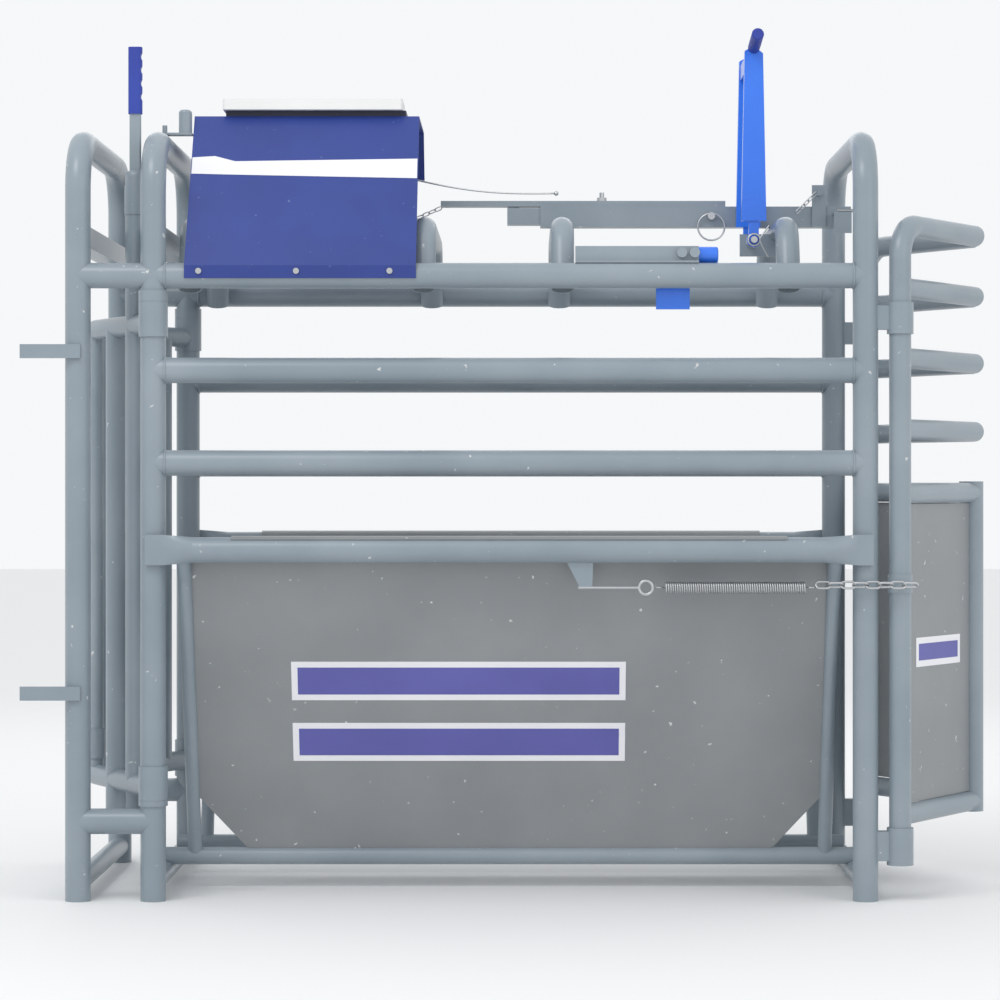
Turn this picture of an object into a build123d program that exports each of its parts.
"""Cattle squeeze chute: tube frame, V side panels, head gate, rear gate, squeeze lever.

Millimetres, +Z up. +X runs from the head gate to the rear gate, -Y is the lever side.
"""
import math
import os

from build123d import *

# Main frame
HALF_WIDTH = 400.0
HOOP_TOP = 1800.0
HOOP_BEND = 120.0
TUBE_OD = 60.3
TUBE_WALL = 3.2
FRONT_BAY = 178.0
BODY_LENGTH = 1684.0
TOP_RAIL_Z = 1478.0
SIDE_RAIL_HEIGHTS = (1254.0, 1035.0)
WAIST_Z = 830.0
LINK_Z = 188.0
FOOT_Z = 43.0
FOOT_OD = 48.3
CROSS_Z = 1570.0
CROSS_SIZE = 50.0
STRAP_REACH = 132.0
STRAP_HEIGHT = 33.0
STRAP_THICK = 8.0
STRAP_HEIGHTS = (492.0, 1298.0)
RUN_CLEARANCE = 0.08
BODY_CLEARANCE = 0.4

# V side panels
PANEL_FOOT_Y = 144.0
PANEL_FOOT_Z = 78.0
PANEL_KNEE_Y = 390.0
PANEL_KNEE_Z = 760.0
PANEL_RAIL_OD = 42.4
PANEL_BAR_OD = 33.7
PANEL_BAR_INSET = 74.0
SHEET_THICK = 3.0
SHEET_CORNER = 127.0
LIP_INSET = 190.0

# Roof
ARCH_OD = 57.0
ARCH_Z = 1600.0
FIRST_ARCH = 83.0
ARCHES_AHEAD_OF_REAR = (1046.0, 716.0, 178.0)
ARCH_BEND = 70.0
GUIDE_SIZE = 50.8
GUIDE_WALL = 3.0
GUIDE_AHEAD_OF_REAR = 767.0
INNER_LEAD = 82.0
INNER_LENGTH = 560.0
BAR_LENGTH = 706.0
BAR_LEAD = 247.0
BAR_HEIGHT = 14.0
BAR_WIDTH = 40.0

# Head gate leaves
HEAD_LEAF_LENGTH = 393.0
HEAD_LEAF_ANGLE = 62.8
HEAD_ARM_OD = 50.0
HEAD_ARM_HEIGHTS = (268.0, 1366.0)
HEAD_SLEEVE_OD = 69.0
HEAD_SLEEVE_HEIGHTS = ((239.0, 80.0), (1333.0, 83.0))
NECK_BAR_OD = 32.0
INNER_BAR_OD = 50.0
INNER_BAR_STATION = 254.0
INNER_BAR_FOOT = 137.0
POST_STATION = 120.0
POST_OD = 48.0
POST_TOP = 1738.0
STEM_TOP = 1872.0
GRIP_TOP = 2032.0

# Rear gate leaves
GATE_OFFSET = 82.0
GATE_TUBE_OD = 52.0
GATE_RAIL_OD = 49.0
GATE_ANGLE = 59.0
GATE_LENGTH = 432.0
FINGER_REACH = 12.0
GATE_FINGERS = (1450.0, 1284.0, 1115.0)
GATE_TOP = 1600.0
GATE_BEND = 80.0
GATE_PANEL_TOP = 964.0
GATE_PANEL_FOOT = 202.0
GATE_SLEEVE_OD = 63.0
GATE_SLEEVE_Z = 1340.0
GATE_SLEEVE_HEIGHT = 75.0
GATE_SOCKET_Z = 85.0
GATE_SOCKET_HEIGHT = 88.0
SOCKET_FLOOR = 6.0
COLLAR_THICK = 3.0

# Lever
LEVER_AHEAD_OF_REAR = 254.0
LEVER_PIVOT_Z = 1573.0
LEVER_TOP = 2040.0
LEVER_OUTER_Y = 250.0
LEVER_INNER_Y = 52.0
LEVER_THICK = 24.0
PIVOT_OD = 16.0

tube_r = TUBE_OD / 2
rear_station = BODY_LENGTH
arch_stations = (FIRST_ARCH, *(rear_station - ahead for ahead in ARCHES_AHEAD_OF_REAR))
guide_start = rear_station - GUIDE_AHEAD_OF_REAR
inner_start = guide_start - INNER_LEAD
bar_start = guide_start - BAR_LEAD
lever_station = rear_station - LEVER_AHEAD_OF_REAR
post_station = rear_station + GATE_OFFSET
gate_lean = math.radians(GATE_ANGLE)
gate_tip = (post_station + (GATE_LENGTH + FINGER_REACH) * math.cos(gate_lean)
            + GATE_TUBE_OD / 2 * math.sin(gate_lean))
strap_tip = -FRONT_BAY - STRAP_REACH
centre = (gate_tip + strap_tip) / 2
SIDES = {"near": -1, "far": 1}
waist_y = HALF_WIDTH + tube_r + 16.0

os.makedirs("parts", exist_ok=True)


def at(station, y=0.0, z=0.0):
    """Point given by its distance behind the head hoop."""
    return Vector(station - centre, y, z)


def rod(start, end, diameter, mode=Mode.ADD):
    """Solid round bar between two points, in the current part."""
    span = end - start
    with BuildSketch(Plane(origin=start, z_dir=span), mode=Mode.PRIVATE) as disc:
        Circle(diameter / 2)
    extrude(disc.sketch, amount=span.length, mode=mode)


def tube(start, end, diameter, wall=TUBE_WALL):
    """Round tube between two points, in the current part."""
    span = end - start
    with BuildSketch(Plane(origin=start, z_dir=span), mode=Mode.PRIVATE) as ring:
        Circle(diameter / 2)
        Circle(diameter / 2 - wall, mode=Mode.SUBTRACT)
    extrude(ring.sketch, amount=span.length)


def bent(points, bend, diameter, mode=Mode.ADD):
    """Solid round bar along straight runs with equal bends."""
    with BuildLine(mode=Mode.PRIVATE) as route:
        FilletPolyline(*points, radius=bend)
    with BuildSketch(Plane(origin=points[0], z_dir=points[1] - points[0]), mode=Mode.PRIVATE) as disc:
        Circle(diameter / 2)
    sweep(disc.sketch, path=route.line, mode=mode)


def block(low, high, mode=Mode.ADD):
    """Rectangular block between two corners."""
    size = high - low
    with Locations((low + high) / 2):
        Box(size.X, size.Y, size.Z, mode=mode)


def save(part, label):
    """Label a finished part and write it."""
    part.label = label
    export_step(part, f"parts/{label}.step")


# Hoops, with a slip-joint groove on the two outer ones
HOOPS = {"front_hoop": -FRONT_BAY, "head_hoop": 0.0, "rear_hoop": rear_station}
SLIP_JOINT_Y = 200.0
GROOVE_DEPTH = 1.0
GROOVE_WIDTH = 3.0
for hoop_name, station in HOOPS.items():
    corners = [
        at(station, -HALF_WIDTH, 0),
        at(station, -HALF_WIDTH, HOOP_TOP),
        at(station, HALF_WIDTH, HOOP_TOP),
        at(station, HALF_WIDTH, 0),
    ]
    with BuildPart() as hoop:
        bent(corners, HOOP_BEND, TUBE_OD)
        bent(corners, HOOP_BEND, TUBE_OD - 2 * TUBE_WALL, Mode.SUBTRACT)
        if station != 0.0:
            groove = Plane(origin=at(station, SLIP_JOINT_Y, HOOP_TOP), z_dir=(0, 1, 0))
            with BuildSketch(groove):
                Circle(tube_r + GROOVE_DEPTH)
                Circle(tube_r - GROOVE_DEPTH, mode=Mode.SUBTRACT)
            extrude(amount=GROOVE_WIDTH, mode=Mode.SUBTRACT)
    save(hoop.part, hoop_name)


def cut_legs(stations, y, top=HOOP_TOP - HOOP_BEND):
    """Cope the current part to the hoop legs."""
    for station in stations:
        rod(at(station, y, 0), at(station, y, top), TUBE_OD, Mode.SUBTRACT)


# Side rails and the short links at the head end
for side_name, side in SIDES.items():
    y = side * HALF_WIDTH
    with BuildPart() as top_rail:
        tube(at(-FRONT_BAY, y, TOP_RAIL_Z), at(rear_station, y, TOP_RAIL_Z), TUBE_OD)
        cut_legs(HOOPS.values(), y)
    save(top_rail.part, f"top_rail_{side_name}")
    with BuildPart() as side_rails:
        for z in SIDE_RAIL_HEIGHTS:
            tube(at(0, y, z), at(rear_station, y, z), TUBE_OD)
        cut_legs(HOOPS.values(), y)
    save(side_rails.part, f"side_rails_{side_name}")
with BuildPart() as links:
    for side in SIDES.values():
        tube(at(-FRONT_BAY, side * HALF_WIDTH, LINK_Z), at(0, side * HALF_WIDTH, LINK_Z), TUBE_OD)
        cut_legs(HOOPS.values(), side * HALF_WIDTH)
save(links.part, "lower_links")

# Waist rails: round tube with ends pressed flat and lapped on the legs
END_FLAT = 12.0
END_HEIGHT = 72.0
END_LENGTH = 22.0
END_TAPER = 70.0
waists = {}
for side_name, side in SIDES.items():
    end_y = side * (HALF_WIDTH + tube_r + END_FLAT / 2)
    round_start = tube_r + END_TAPER
    with BuildPart() as waist:
        tube(at(round_start, side * waist_y, WAIST_Z),
             at(rear_station - round_start, side * waist_y, WAIST_Z), TUBE_OD)
        for leg, inward in ((0.0, 1), (rear_station, -1)):
            flat_x = leg + inward * END_LENGTH
            with BuildSketch(Plane(origin=at(flat_x, end_y, WAIST_Z), x_dir=(0, 1, 0),
                                   z_dir=(inward, 0, 0))):
                Rectangle(END_FLAT, END_HEIGHT)
            with BuildSketch(Plane(origin=at(leg + inward * round_start, side * waist_y, WAIST_Z),
                                   x_dir=(0, 1, 0), z_dir=(inward, 0, 0))):
                Circle(tube_r)
            loft()
            lap_x = leg - inward * tube_r / 2
            block(at(min(lap_x, flat_x), end_y - END_FLAT / 2, WAIST_Z - END_HEIGHT / 2),
                  at(max(lap_x, flat_x), end_y + END_FLAT / 2, WAIST_Z + END_HEIGHT / 2))
        cut_legs((0.0, rear_station), side * HALF_WIDTH)
    save(waist.part, f"waist_rail_{side_name}")
    waists[side_name] = waist.part

# Cross tubes at the feet and the upper cross members
with BuildPart() as feet:
    for station in HOOPS.values():
        tube(at(station, -HALF_WIDTH, FOOT_Z), at(station, HALF_WIDTH, FOOT_Z), FOOT_OD)
    for side in SIDES.values():
        cut_legs(HOOPS.values(), side * HALF_WIDTH)
save(feet.part, "foot_tubes")
cross_half = CROSS_SIZE / 2
with BuildPart() as members:
    for station in (-FRONT_BAY, 0.0):
        block(at(station - cross_half, -HALF_WIDTH, CROSS_Z - cross_half),
              at(station + cross_half, HALF_WIDTH, CROSS_Z + cross_half))
    for side in SIDES.values():
        cut_legs(HOOPS.values(), side * HALF_WIDTH)
save(members.part, "cross_members")

# Fixing straps in front of the front hoop
with BuildPart() as straps:
    for side in SIDES.values():
        for z in STRAP_HEIGHTS:
            inner = HALF_WIDTH + tube_r
            block(at(strap_tip, min(side * inner, side * (inner + STRAP_THICK)), z - STRAP_HEIGHT / 2),
                  at(-FRONT_BAY + 10, max(side * inner, side * (inner + STRAP_THICK)), z + STRAP_HEIGHT / 2))
save(straps.part, "front_straps")

# V side panels: foot rail, end bars, folded sheet
panel_stations = (PANEL_BAR_INSET, rear_station - PANEL_BAR_INSET)
LIP_R = tube_r + BODY_CLEARANCE + SHEET_THICK / 2
reach_y = waist_y - PANEL_KNEE_Y
reach_z = WAIST_Z - PANEL_KNEE_Z
knee_span = math.hypot(reach_y, reach_z)
lip_turn = math.atan2(reach_z, reach_y) + math.asin(LIP_R / knee_span)
lip_run = math.sqrt(knee_span**2 - LIP_R**2)
lip_y = PANEL_KNEE_Y + lip_run * math.cos(lip_turn)
lip_z = PANEL_KNEE_Z + lip_run * math.sin(lip_turn)
lip_start = math.degrees(math.atan2(lip_z - WAIST_Z, lip_y - waist_y))
LIP_END = 50.0
with BuildPart() as panel_rails:
    for side in SIDES.values():
        foot_y = side * PANEL_FOOT_Y
        tube(at(0, foot_y, PANEL_FOOT_Z), at(rear_station, foot_y, PANEL_FOOT_Z), PANEL_RAIL_OD)
    for station in (0.0, rear_station):
        rod(at(station, -HALF_WIDTH, FOOT_Z), at(station, HALF_WIDTH, FOOT_Z), FOOT_OD, Mode.SUBTRACT)
save(panel_rails.part, "panel_rails")
for side_name, side in SIDES.items():
    foot_y = side * PANEL_FOOT_Y
    with BuildPart() as panel_bars:
        for station in panel_stations:
            bent([at(station, foot_y, PANEL_FOOT_Z),
                  at(station, side * PANEL_KNEE_Y, PANEL_KNEE_Z),
                  at(station, side * waist_y, WAIST_Z)], 50, PANEL_BAR_OD)
        rod(at(0, foot_y, PANEL_FOOT_Z), at(rear_station, foot_y, PANEL_FOOT_Z), PANEL_RAIL_OD,
            Mode.SUBTRACT)
        rod(at(100, side * waist_y, WAIST_Z), at(rear_station - 100, side * waist_y, WAIST_Z), TUBE_OD,
            Mode.SUBTRACT)
        add(waists[side_name], mode=Mode.SUBTRACT)
    save(Compound(panel_bars.solids().sort_by(SortBy.VOLUME)[-2:]), f"panel_bars_{side_name}")

    sheet_first = panel_stations[0] + PANEL_BAR_OD / 2
    sheet_last = panel_stations[1] - PANEL_BAR_OD / 2
    lean = math.atan2(PANEL_KNEE_Z - PANEL_FOOT_Z, PANEL_KNEE_Y - PANEL_FOOT_Y)
    start_gap = PANEL_RAIL_OD / 2
    section = Plane(origin=at(sheet_first), x_dir=(0, side, 0), z_dir=(side, 0, 0))
    with BuildPart() as sheet:
        with BuildSketch(section):
            with BuildLine():
                sheet_foot = (PANEL_FOOT_Y + start_gap * math.cos(lean), PANEL_FOOT_Z + start_gap * math.sin(lean))
                Polyline(sheet_foot, (PANEL_KNEE_Y, PANEL_KNEE_Z), (lip_y, lip_z))
                CenterArc((waist_y, WAIST_Z), LIP_R, lip_start, LIP_END - lip_start)
            trace(line_width=SHEET_THICK)
        extrude(amount=side * (sheet_last - sheet_first))
        for corner, inward in ((sheet_first, 1), (sheet_last, -1)):
            with BuildSketch(Plane(origin=at(corner, 0, PANEL_FOOT_Z), x_dir=(1, 0, 0), z_dir=(0, -1, 0))):
                with BuildLine():
                    Polyline((-inward, -20), (inward * (SHEET_CORNER + 20), -20),
                             (-inward, SHEET_CORNER + 20), close=True)
                make_face()
            extrude(amount=HALF_WIDTH, both=True, mode=Mode.SUBTRACT)
            lip_low = at(min(corner, corner + inward * (LIP_INSET - sheet_first)), -waist_y * 2, lip_z)
            lip_high = at(max(corner, corner + inward * (LIP_INSET - sheet_first)), waist_y * 2, lip_z + 60)
            block(lip_low, lip_high, Mode.SUBTRACT)
    save(sheet.part, f"panel_sheet_{side_name}")

# Roof arches
arch_foot_y = HALF_WIDTH - 42
with BuildPart() as arches:
    for station in arch_stations:
        corners = [
            at(station, -arch_foot_y, TOP_RAIL_Z - 28),
            at(station, -arch_foot_y + 55, ARCH_Z),
            at(station, arch_foot_y - 55, ARCH_Z),
            at(station, arch_foot_y, TOP_RAIL_Z - 28),
        ]
        bent(corners, ARCH_BEND, ARCH_OD)
        bent(corners, ARCH_BEND, ARCH_OD - 2 * TUBE_WALL, Mode.SUBTRACT)
    for side in SIDES.values():
        rod(at(0, side * HALF_WIDTH, TOP_RAIL_Z), at(rear_station, side * HALF_WIDTH, TOP_RAIL_Z), TUBE_OD,
            Mode.SUBTRACT)
save(Compound(arches.solids().sort_by(SortBy.VOLUME)[-len(arch_stations):]), "roof_arches")

# Guide tube with the sliding inner tube and the flat bar above it
GUIDE_Z = 1648.0
guide_half = GUIDE_SIZE / 2
bore_half = guide_half - GUIDE_WALL
bar_z = GUIDE_Z + guide_half + BODY_CLEARANCE
with BuildPart() as guide:
    block(at(guide_start, -guide_half, GUIDE_Z - guide_half),
          at(rear_station + 3, guide_half, GUIDE_Z + guide_half))
    block(at(guide_start, -bore_half, GUIDE_Z - bore_half),
          at(rear_station + 3, bore_half, GUIDE_Z + bore_half), Mode.SUBTRACT)
    for station in arch_stations[2:]:
        rod(at(station, -60, ARCH_Z), at(station, 60, ARCH_Z), ARCH_OD, Mode.SUBTRACT)
save(guide.part, "guide_tube")

inner_half = bore_half - BODY_CLEARANCE
arch_rise = ARCH_Z + ARCH_OD / 2 + BODY_CLEARANCE
with BuildPart() as inner:
    block(at(inner_start, -inner_half, max(arch_rise, GUIDE_Z - inner_half)),
          at(inner_start + INNER_LENGTH, inner_half, GUIDE_Z + inner_half))
    block(at(inner_start + 3, -15, GUIDE_Z), at(inner_start + 30, 15, bar_z))
save(inner.part, "inner_tube")

bolt_station = guide_start + 153
BOLT_D = 12.0
BOLT_SLOT = 110.0
with BuildPart() as bar:
    block(at(bar_start, -BAR_WIDTH / 2, bar_z), at(bar_start + BAR_LENGTH, BAR_WIDTH / 2, bar_z + BAR_HEIGHT))
    with BuildSketch(Plane(origin=at(bolt_station, 0, bar_z))):
        SlotOverall(BOLT_SLOT, BOLT_D + 1)
    extrude(amount=BAR_HEIGHT, mode=Mode.SUBTRACT)
    rod(at(bar_start + 15, 0, bar_z), at(bar_start + 15, 0, bar_z + BAR_HEIGHT), 12, Mode.SUBTRACT)
save(bar.part, "flat_bar")

with BuildPart() as bolt:
    rod(at(bolt_station, 0, GUIDE_Z + guide_half), at(bolt_station, 0, bar_z + BAR_HEIGHT + 22), BOLT_D)
    with BuildSketch(Plane(origin=at(bolt_station, 0, bar_z + BAR_HEIGHT + BODY_CLEARANCE))):
        RegularPolygon(12, 6)
    extrude(amount=9)
save(bolt.part, "guide_bolt")

# Lynch pin through the guide tube side, with its ring
PIN_LEAD = 90.0
pin_station = lever_station - PIN_LEAD
with BuildPart() as pin:
    rod(at(pin_station, -guide_half - 2, GUIDE_Z), at(pin_station, -guide_half - 26, GUIDE_Z), 18)
    with Locations(Location(at(pin_station, -guide_half - 10, GUIDE_Z - 26), (90, 0, 0))):
        Torus(33, 2.2)
save(pin.part, "lynch_pin")

# Squeeze lever: two arms on a pivot rod, a top crossbar and a grip
outer_y = -LEVER_OUTER_Y
inner_y = -LEVER_INNER_Y
ARM_FOOT = 60.0
ARM_HEAD = 44.0
arm_base = LEVER_PIVOT_Z + 46
with BuildPart() as lever:
    for y in (outer_y, inner_y):
        with BuildSketch(Plane(origin=at(lever_station, y, 0), x_dir=(1, 0, 0), z_dir=(0, -1, 0))):
            with BuildLine():
                Polyline((-ARM_FOOT / 2, arm_base), (ARM_FOOT / 2, arm_base), (ARM_HEAD / 2, LEVER_TOP - 18),
                         (0, LEVER_TOP), (-ARM_HEAD / 2, LEVER_TOP - 12), close=True)
            make_face()
        extrude(amount=LEVER_THICK / 2, both=True)
        block(at(lever_station - 12, y - 8, LEVER_PIVOT_Z), at(lever_station + 12, y + 8, arm_base + 5))
        rod(at(lever_station, y - 8, LEVER_PIVOT_Z), at(lever_station, y + 8, LEVER_PIVOT_Z), 34)
    block(at(lever_station - 20, outer_y, LEVER_TOP - 60), at(lever_station + 20, inner_y, LEVER_TOP - 24))
    rod(at(lever_station, outer_y - 60, LEVER_PIVOT_Z), at(lever_station, inner_y + 60, LEVER_PIVOT_Z),
        PIVOT_OD + 2 * RUN_CLEARANCE, Mode.SUBTRACT)
save(lever.part, "squeeze_lever")

GRIP_END_Y = -398.0
with BuildPart() as grip:
    rod(at(lever_station, outer_y - LEVER_THICK / 2, LEVER_TOP - 4),
        at(lever_station, GRIP_END_Y, LEVER_TOP + 10), 29)
    chamfer(grip.edges().sort_by(Axis.Y)[0], 3)
    block(at(lever_station - 40, outer_y - LEVER_THICK / 2, LEVER_TOP - 60),
          at(lever_station + 40, outer_y + 20, LEVER_TOP + 60), Mode.SUBTRACT)
save(grip.part, "lever_grip")

# Fixed pivot rod on its bracket, off the guide tube
BRACKET_Y = -120.0
with BuildPart() as pivot:
    rod(at(lever_station, outer_y - 24, LEVER_PIVOT_Z), at(lever_station, inner_y + 24, LEVER_PIVOT_Z),
        PIVOT_OD)
save(pivot.part, "lever_pivot_rod")
with BuildPart() as bracket:
    block(at(lever_station - 25, BRACKET_Y - 5, LEVER_PIVOT_Z - 30),
          at(arch_stations[3], BRACKET_Y + 5, LEVER_PIVOT_Z + 24))
    rod(at(lever_station, BRACKET_Y - 9, LEVER_PIVOT_Z), at(lever_station, BRACKET_Y + 9, LEVER_PIVOT_Z),
        PIVOT_OD, Mode.SUBTRACT)
    rod(at(arch_stations[3], -300, ARCH_Z), at(arch_stations[3], 0, ARCH_Z), ARCH_OD, Mode.SUBTRACT)
save(bracket.part, "lever_bracket")

clip_y = outer_y - 16
with BuildPart() as clip:
    with Locations(Location(at(lever_station, clip_y, LEVER_PIVOT_Z), (90, 0, 0))):
        Torus(14, 2.2)
    rod(at(lever_station + 14, clip_y, LEVER_PIVOT_Z + 3),
        at(lever_station + 36, clip_y, LEVER_PIVOT_Z + 34), 4)
    rod(at(lever_station + 14, clip_y, LEVER_PIVOT_Z - 3),
        at(lever_station + 34, clip_y, LEVER_PIVOT_Z - 42), 4)
save(clip.part, "lever_clip")

# Upright stop plate and folded bracket at the rear of the guide tube
STOP_AHEAD_OF_REAR = 94.0
stop_station = rear_station - STOP_AHEAD_OF_REAR
with BuildPart() as stop_plate:
    block(at(stop_station, -guide_half - 6, GUIDE_Z - guide_half),
          at(stop_station + 34, -guide_half, GUIDE_Z + 78))
    rod(at(stop_station + 17, -guide_half - 14, GUIDE_Z + 58),
        at(stop_station + 17, -guide_half, GUIDE_Z + 58), 14)
save(stop_plate.part, "stop_plate")
with BuildPart() as folded:
    block(at(stop_station + 50, -guide_half - 50, GUIDE_Z + 4), at(rear_station, -guide_half, GUIDE_Z + 8))
    block(at(stop_station + 50, -guide_half - 50, GUIDE_Z - 44),
          at(rear_station, -guide_half - 46, GUIDE_Z + 4))
save(folded.part, "folded_bracket")
with BuildPart() as latch_rod:
    rod(at(stop_station + 60, -guide_half - 38, GUIDE_Z + 12),
        at(rear_station + 51, -guide_half - 38, GUIDE_Z + 12), 8)
save(latch_rod.part, "latch_rod")

# Hood over the head end: folded sheet from the near top rail
HOOD_START = 76.0
HOOD_LENGTH = 546.0
HOOD_FOOT_Z = 1470.0
HOOD_BOLT_RISE = 17.0
HOOD_TOP_Z = 1878.0
HOOD_TOP_Y = 180.0
HOOD_THICK = 3.0
hood_y = HALF_WIDTH + tube_r + HOOD_THICK / 2
with BuildPart() as hood:
    with BuildSketch(Plane(origin=at(HOOD_START), x_dir=(0, 1, 0), z_dir=(1, 0, 0))):
        with BuildLine():
            Polyline((-hood_y, HOOD_FOOT_Z), (-hood_y, TOP_RAIL_Z + 22), (-HOOD_TOP_Y, HOOD_TOP_Z),
                     (HOOD_TOP_Y, HOOD_TOP_Z), (HOOD_TOP_Y + 62, HOOD_TOP_Z - 115))
        trace(line_width=HOOD_THICK)
    extrude(amount=HOOD_LENGTH)
save(hood.part, "hood")
tray_z = HOOD_TOP_Z + HOOD_THICK / 2
with BuildPart() as tray_base:
    block(at(152, -HOOD_TOP_Y, tray_z), at(590, -HOOD_TOP_Y + 130, tray_z + 14))
save(tray_base.part, "tray_base")
with BuildPart() as tray:
    block(at(146, -HOOD_TOP_Y - 24, tray_z + 14), at(582, -HOOD_TOP_Y + 140, tray_z + 40))
    fillet(tray.edges().filter_by(Axis.Z), 8)
save(tray.part, "tray_lid")
with BuildPart() as hood_bolts:
    for station in (110.0, 340.0, 560.0):
        rod(at(station, -hood_y - HOOD_THICK / 2 - 5, HOOD_FOOT_Z + HOOD_BOLT_RISE),
            at(station, -hood_y - HOOD_THICK / 2, HOOD_FOOT_Z + HOOD_BOLT_RISE), 14)
save(hood_bolts.part, "hood_bolts")

# Small cup on a plate on top of the head hoop
with BuildPart() as cup:
    block(at(-14, -225, HOOP_TOP + tube_r), at(73, -185, HOOP_TOP + tube_r + 5))
    rod(at(56, -205, HOOP_TOP + tube_r + 5), at(56, -205, HOOP_TOP + tube_r + 62), 32)
    fillet(cup.edges().sort_by(Axis.Z)[-1], 8)
    rod(at(6, -205, HOOP_TOP + tube_r + 5), at(6, -205, HOOP_TOP + tube_r + 24), 12)
save(cup.part, "rope_cup")

# Side handle beside the near top rail
SIDE_AHEAD_OF_REAR = 686.0
side_start = rear_station - SIDE_AHEAD_OF_REAR
rail_top = TOP_RAIL_Z + tube_r
with BuildPart() as side_angle:
    block(at(side_start, -HALF_WIDTH, rail_top - 4), at(side_start + 292, -HALF_WIDTH + 5, rail_top + 40))
    block(at(side_start, -HALF_WIDTH - 12, rail_top), at(side_start + 292, -HALF_WIDTH, rail_top + 5))
    rod(at(side_start - 50, -HALF_WIDTH, TOP_RAIL_Z),
        at(side_start + 400, -HALF_WIDTH, TOP_RAIL_Z), TUBE_OD, Mode.SUBTRACT)
    for offset in (252.0, 282.0):
        rod(at(side_start + offset, -HALF_WIDTH - 14, rail_top + 24),
            at(side_start + offset, -HALF_WIDTH, rail_top + 24), 24)
save(side_angle.part, "side_angle")
with BuildPart() as side_handle:
    rod(at(side_start + 150, -HALF_WIDTH + 25, rail_top + 20),
        at(side_start + 339, -HALF_WIDTH + 25, rail_top + 20), 40)
    fillet(side_handle.edges().sort_by(Axis.X)[-1], 6)
    block(at(side_start + 192, -HALF_WIDTH + 31, 1400), at(side_start + 272, -HALF_WIDTH + 37, rail_top + 20))
save(side_handle.part, "side_handle")

# Head gate leaves on leg sleeves, and the rings that hold the sleeves
head_lean = math.radians(HEAD_LEAF_ANGLE)
sleeve_bore = TUBE_OD + 2 * RUN_CLEARANCE
with BuildPart() as head_rings:
    for side in SIDES.values():
        for low, height in ((HEAD_SLEEVE_HEIGHTS[0][0] - 14, 13.6),
                            (HEAD_SLEEVE_HEIGHTS[1][0] + HEAD_SLEEVE_HEIGHTS[1][1] + BODY_CLEARANCE, 26)):
            tube(at(0, side * HALF_WIDTH, low), at(0, side * HALF_WIDTH, low + height), HEAD_SLEEVE_OD,
                 (HEAD_SLEEVE_OD - TUBE_OD) / 2)
save(head_rings.part, "head_sleeve_rings")

for side_name, side in SIDES.items():
    def leaf(distance, z, lean=head_lean, hinge_side=side):
        """Point on the head gate leaf, by distance from its hinge."""
        return at(-distance * math.cos(lean), hinge_side * (HALF_WIDTH - distance * math.sin(lean)), z)

    with BuildPart() as arms:
        for z in HEAD_ARM_HEIGHTS:
            rod(leaf(0, z), leaf(HEAD_LEAF_LENGTH, z), HEAD_ARM_OD)
        for low, height in HEAD_SLEEVE_HEIGHTS:
            rod(leaf(0, low), leaf(0, low + height), HEAD_SLEEVE_OD)
        rod(leaf(0, 0), leaf(0, HOOP_TOP), sleeve_bore, Mode.SUBTRACT)
    save(Compound(arms.solids().sort_by(SortBy.VOLUME)[-2:]), f"head_leaf_arms_{side_name}")

    bars = [(HEAD_LEAF_LENGTH, NECK_BAR_OD, HEAD_ARM_HEIGHTS[0], HEAD_ARM_HEIGHTS[1])]
    bars.append((INNER_BAR_STATION, INNER_BAR_OD, INNER_BAR_FOOT, HEAD_ARM_HEIGHTS[1]))
    bars.append((POST_STATION, POST_OD, HEAD_ARM_HEIGHTS[0], HEAD_ARM_HEIGHTS[1]))
    with BuildPart() as uprights:
        for distance, size, low, high in bars:
            rod(leaf(distance, low), leaf(distance, high), size)
        rod(leaf(HEAD_LEAF_LENGTH, 309), leaf(HEAD_LEAF_LENGTH, 381), NECK_BAR_OD + 10)
        for z in HEAD_ARM_HEIGHTS:
            rod(leaf(0, z), leaf(HEAD_LEAF_LENGTH, z), HEAD_ARM_OD, Mode.SUBTRACT)
    save(Compound(uprights.solids().filter_by(lambda s: s.volume > 5000)), f"head_leaf_bars_{side_name}")

    if side_name == "near":
        with BuildPart() as lever_post:
            rod(leaf(POST_STATION, HEAD_ARM_HEIGHTS[1]), leaf(POST_STATION, POST_TOP), POST_OD)
            fillet(lever_post.edges().sort_by(Axis.Z)[-1], 16)
            rod(leaf(POST_STATION, 1630), leaf(POST_STATION, 1700), POST_OD + 4)
            rod(leaf(0, HEAD_ARM_HEIGHTS[1]), leaf(HEAD_LEAF_LENGTH, HEAD_ARM_HEIGHTS[1]), HEAD_ARM_OD,
                Mode.SUBTRACT)
            with BuildSketch(Plane(origin=leaf(POST_STATION, POST_TOP - 20))):
                RectangleRounded(27, 18, 4)
            extrude(amount=STEM_TOP - POST_TOP + 20)
        save(Compound(lever_post.solids().sort_by(SortBy.VOLUME)[-1:]), "head_lever_post")
        with BuildPart() as lever_grip:
            with BuildSketch(Plane(origin=leaf(POST_STATION, STEM_TOP))):
                RectangleRounded(33, 26, 9)
            extrude(amount=GRIP_TOP - STEM_TOP)
            for groove_number in range(4):
                z = STEM_TOP + 42 + groove_number * 32
                rod(leaf(POST_STATION, z) + Vector(27, -30, 0), leaf(POST_STATION, z) + Vector(27, 30, 0), 28,
                    Mode.SUBTRACT)
        save(lever_grip.part, "head_lever_grip")

# Height and side distance of the return spring's line
SPRING_Y = -(waist_y + 4)
SPRING_Z = 742.0
TAB_AHEAD_OF_REAR = 716.0
tab_station = rear_station - TAB_AHEAD_OF_REAR

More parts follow.
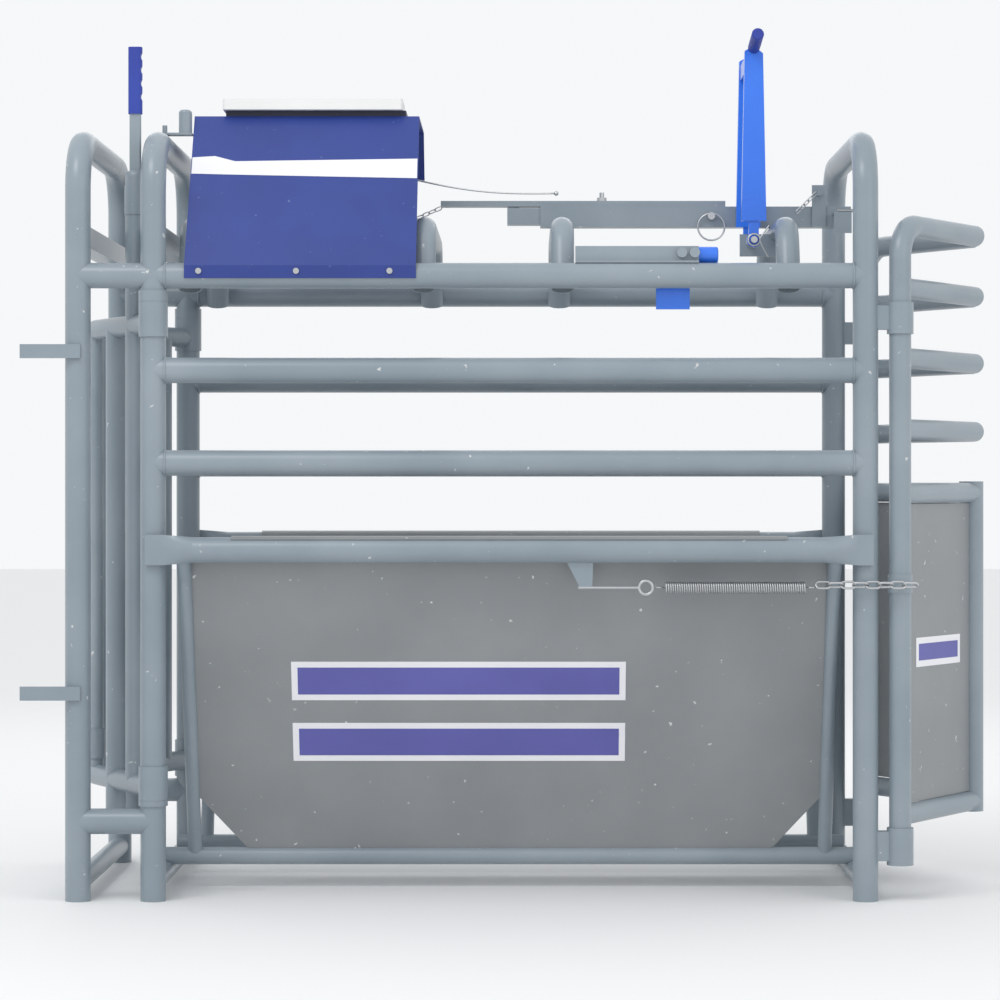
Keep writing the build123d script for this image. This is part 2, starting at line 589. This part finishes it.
# Rear gate bearings on the rear hoop, and the two leaves
gate_r = GATE_TUBE_OD / 2
for side_name, side in SIDES.items():
    hinge_y = side * HALF_WIDTH

    def gate(distance, z, hinge_side=side):
        """Point on the rear gate leaf, by distance from its hinge."""
        return at(post_station + distance * math.cos(gate_lean),
                  hinge_side * (HALF_WIDTH - distance * math.sin(gate_lean)), z)

    with BuildPart() as bearings:
        for low, height, floor in ((GATE_SLEEVE_Z, GATE_SLEEVE_HEIGHT, 0.0),
                                   (GATE_SOCKET_Z, GATE_SOCKET_HEIGHT, SOCKET_FLOOR)):
            rod(gate(0, low), gate(0, low + height), GATE_SLEEVE_OD)
            block(at(rear_station, hinge_y - 14, low + 10), at(post_station, hinge_y + 14, low + height - 8))
            rod(gate(0, low + floor), gate(0, low + height), GATE_TUBE_OD + 2 * RUN_CLEARANCE, Mode.SUBTRACT)
        cut_legs((rear_station,), hinge_y)
    save(Compound(bearings.solids().sort_by(SortBy.VOLUME)[-2:]), f"gate_bearings_{side_name}")

    post_foot = GATE_SOCKET_Z + SOCKET_FLOOR + BODY_CLEARANCE
    with BuildPart() as gate_post:
        bent([gate(0, post_foot), gate(0, GATE_TOP), gate(GATE_LENGTH + FINGER_REACH, GATE_TOP)], GATE_BEND,
             GATE_TUBE_OD)
        if side_name == "near":
            rod(gate(0, SPRING_Z - 14), gate(0, SPRING_Z + 30), GATE_TUBE_OD + 2 * COLLAR_THICK)
    save(gate_post.part, f"gate_post_{side_name}")

    with BuildPart() as fingers:
        for z in GATE_FINGERS:
            rod(gate(0, z), gate(GATE_LENGTH + FINGER_REACH, z), GATE_RAIL_OD)
        rod(gate(0, 0), gate(0, GATE_TOP), GATE_TUBE_OD, Mode.SUBTRACT)
    save(Compound(fingers.solids().sort_by(SortBy.VOLUME)[-3:]), f"gate_fingers_{side_name}")

    with BuildPart() as gate_frame:
        rod(gate(GATE_LENGTH, 176), gate(GATE_LENGTH, 992), GATE_TUBE_OD)
        for z in (GATE_PANEL_FOOT, GATE_PANEL_TOP):
            rod(gate(0, z), gate(GATE_LENGTH, z), GATE_RAIL_OD)
        rod(gate(0, 0), gate(0, GATE_TOP), GATE_TUBE_OD, Mode.SUBTRACT)
    save(Compound(gate_frame.solids().sort_by(SortBy.VOLUME)[-1:]), f"gate_frame_{side_name}")
    outward = gate(1, 0) - gate(0, 0)
    panel_face = Plane(origin=gate(0, 0), x_dir=outward, z_dir=outward.cross(Vector(0, 0, 1)))
    with BuildPart() as gate_sheet:
        with BuildSketch(panel_face):
            with Locations(((GATE_LENGTH + COLLAR_THICK) / 2, (GATE_PANEL_FOOT + GATE_PANEL_TOP) / 2)):
                Rectangle(GATE_LENGTH - GATE_TUBE_OD - COLLAR_THICK,
                          GATE_PANEL_TOP - GATE_PANEL_FOOT - GATE_TUBE_OD)
        extrude(amount=SHEET_THICK / 2, both=True)
    save(gate_sheet.part, f"gate_sheet_{side_name}")

# Return spring: tab, eye bolt, spring and chain on the near side
with BuildPart() as tab:
    with BuildSketch(Plane(origin=at(0, SPRING_Y, 0), x_dir=(1, 0, 0), z_dir=(0, -1, 0))):
        with BuildLine():
            Polyline((tab_station, WAIST_Z - 10), (tab_station + 72, WAIST_Z - 10),
                     (tab_station + 68, SPRING_Z - 16), (tab_station + 48, SPRING_Z - 16), close=True)
        make_face()
    extrude(amount=3, both=True)
    rod(at(0, -waist_y, WAIST_Z), at(rear_station, -waist_y, WAIST_Z), TUBE_OD, Mode.SUBTRACT)
    rod(at(tab_station, SPRING_Y, SPRING_Z), at(tab_station + 100, SPRING_Y, SPRING_Z), 7, Mode.SUBTRACT)
save(Compound(tab.solids().sort_by(SortBy.VOLUME)[-1:]), "spring_tab")
with BuildPart() as eye_bolt:
    rod(at(tab_station + 36, SPRING_Y, SPRING_Z), at(tab_station + 180, SPRING_Y, SPRING_Z), 7)
    with Locations(Location(at(tab_station + 195, SPRING_Y, SPRING_Z), (90, 0, 0))):
        Torus(16, 4)
save(eye_bolt.part, "eye_bolt")
with BuildPart() as spring:
    rod(at(tab_station + 218, SPRING_Y, SPRING_Z), at(tab_station + 592, SPRING_Y, SPRING_Z), 29)
save(spring.part, "return_spring")
LINK_WIRE = 5.5
LINK_HALF = 14.0
with BuildPart() as chain:
    for number in range(7):
        x = tab_station + 594 + LINK_HALF + LINK_WIRE + number * (2 * LINK_HALF + 5.5)
        flat = number % 2 == 0
        with Locations(Location(at(x, SPRING_Y + 1, SPRING_Z + 6), (0, 0, 0) if flat else (90, 0, 0))):
            Torus(LINK_HALF, LINK_WIRE / 2)
save(chain.part, "spring_chain")
